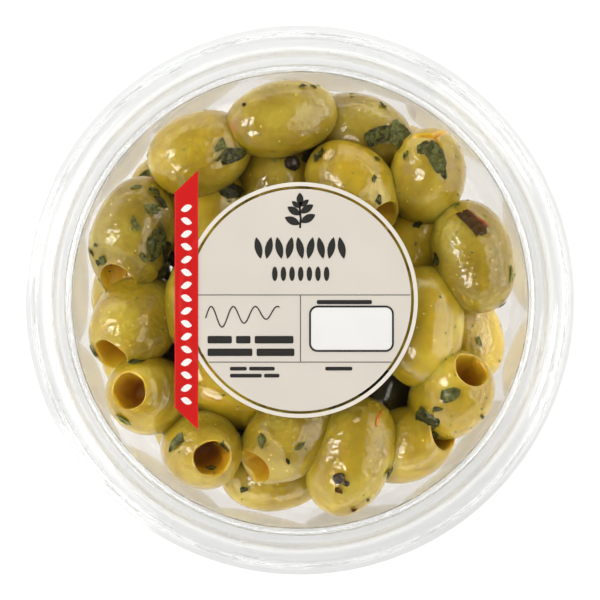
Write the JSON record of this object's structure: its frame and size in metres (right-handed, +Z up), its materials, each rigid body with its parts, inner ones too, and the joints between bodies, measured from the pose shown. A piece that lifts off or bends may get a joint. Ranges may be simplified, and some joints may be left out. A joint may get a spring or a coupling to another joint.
{
  "type": "tub of pitted olives",
  "caption": "Round shut clear plastic tub with a press-on lid, filled with pitted green olives and chopped basil, with a round label and a red strip on the lid.",
  "frame": {"origin": "centre of the foot ring, on the surface the tub stands on", "axes": "+Z up through the lid, +Y towards the top of the label, +X to the label's right"},
  "size_m": [0.118, 0.118, 0.042],
  "materials": {
    "tub_plastic": "gloss",
    "lid_plastic": "gloss",
    "label_film": "satin",
    "strip_film": "satin",
    "olive_flesh": "oily"
  },
  "bodies": {
    "root": {"tub": "tub_plastic", "lid": "lid_plastic", "label": "label_film", "label_strip": "strip_film", "olives": "olive_flesh"}
  },
  "joints": []
}
